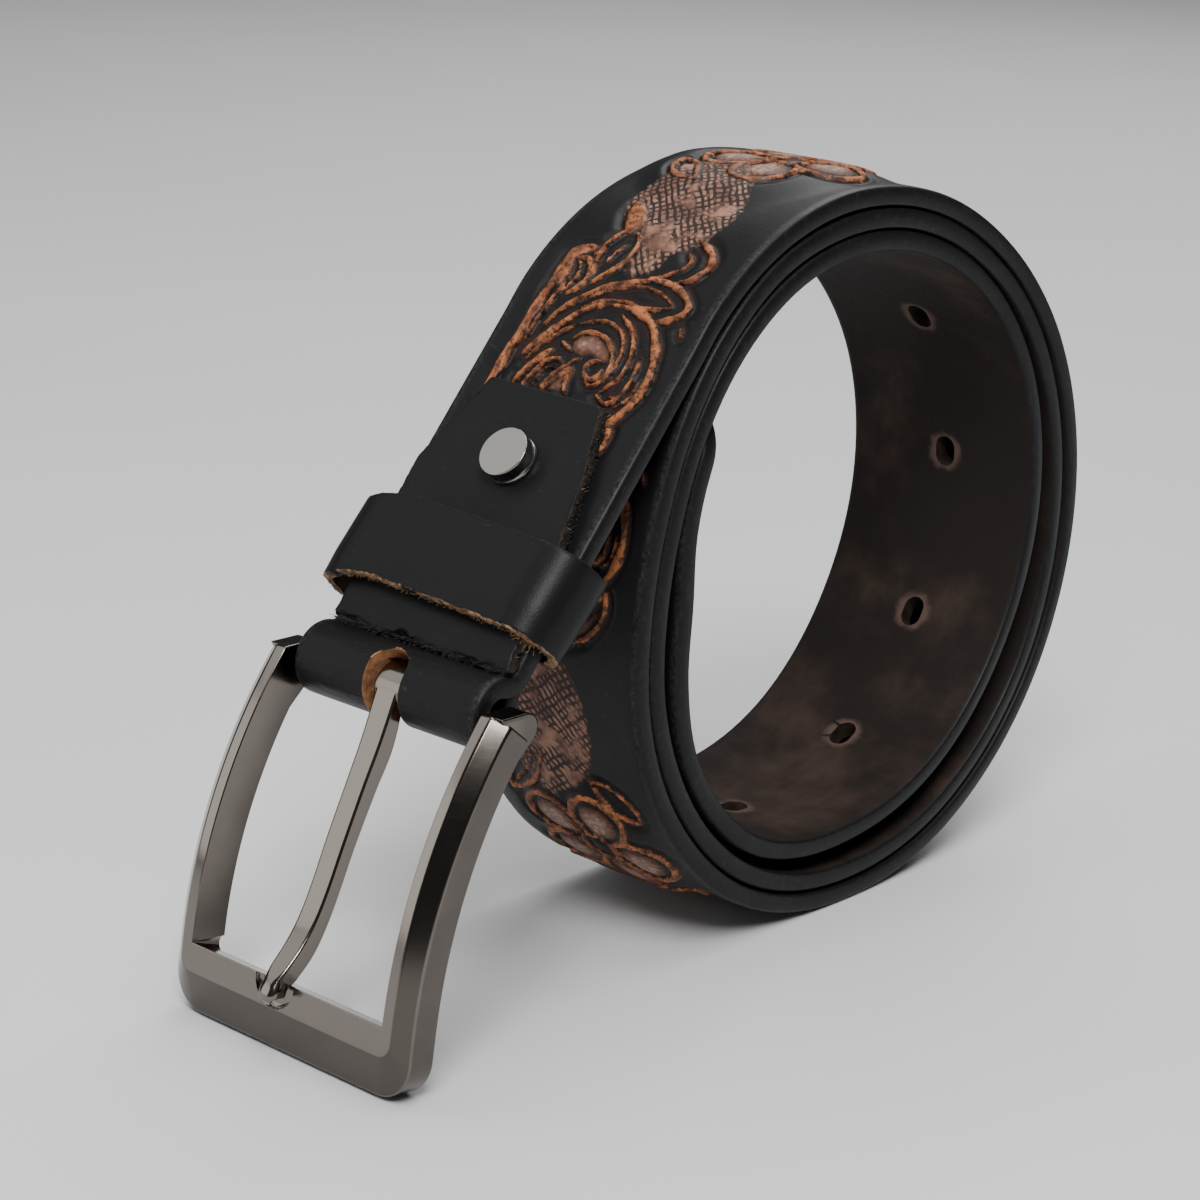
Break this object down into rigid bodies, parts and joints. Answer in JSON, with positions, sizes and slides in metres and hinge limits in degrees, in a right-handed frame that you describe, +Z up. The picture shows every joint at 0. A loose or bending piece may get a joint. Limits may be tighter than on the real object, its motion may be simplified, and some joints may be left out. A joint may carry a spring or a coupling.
{
  "type": "waist belt",
  "caption": "Coiled leather western belt with a tooled strap, riveted cover tab, leather keeper loop, and a bowed open-frame buckle with a swinging tongue.",
  "frame": {"origin": "centre of the footprint on the floor: the coil stands on its edge and the rail of the buckle stands on the floor in front of it", "axes": "+Z up; X runs across the width of the strap, and the picture shows the coil from its +X side; the buckle is at the -Y end and the coil at the +Y end"},
  "size_m": [0.05, 0.1776, 0.1229],
  "materials": {
    "tooled_leather": "near-black satin leather, tooled and rubbed back to copper brown along the middle of the outer face, dark brown raw flesh side",
    "plain_leather": "near-black satin leather with raw tan cut edges",
    "bright_nickel": "bright nickel plate",
    "gunmetal_nickel": "satin gunmetal nickel plate with fine scratches"
  },
  "bodies": {
    "strap": {"strap": "tooled_leather", "cover_tab": "plain_leather", "keeper_loop": "plain_leather", "rivet_cap": "bright_nickel", "rivet_back": "bright_nickel"},
    "buckle": {"buckle_frame": "gunmetal_nickel", "buckle_bar": "gunmetal_nickel"},
    "tongue": {"tongue": "gunmetal_nickel"}
  },
  "joints": [
    {"name": "frame_swing", "type": "hinge", "parent": "strap", "child": "buckle", "pos_m": [0, -0.06198, 0.05231], "axis": [-1, 0, 0], "range_deg": [-50, 40]},
    {"name": "tongue_swing", "type": "hinge", "parent": "buckle", "child": "tongue", "pos_m": [0, -0.06198, 0.05231], "axis": [-1, 0, 0], "range_deg": [0, 65]}
  ]
}
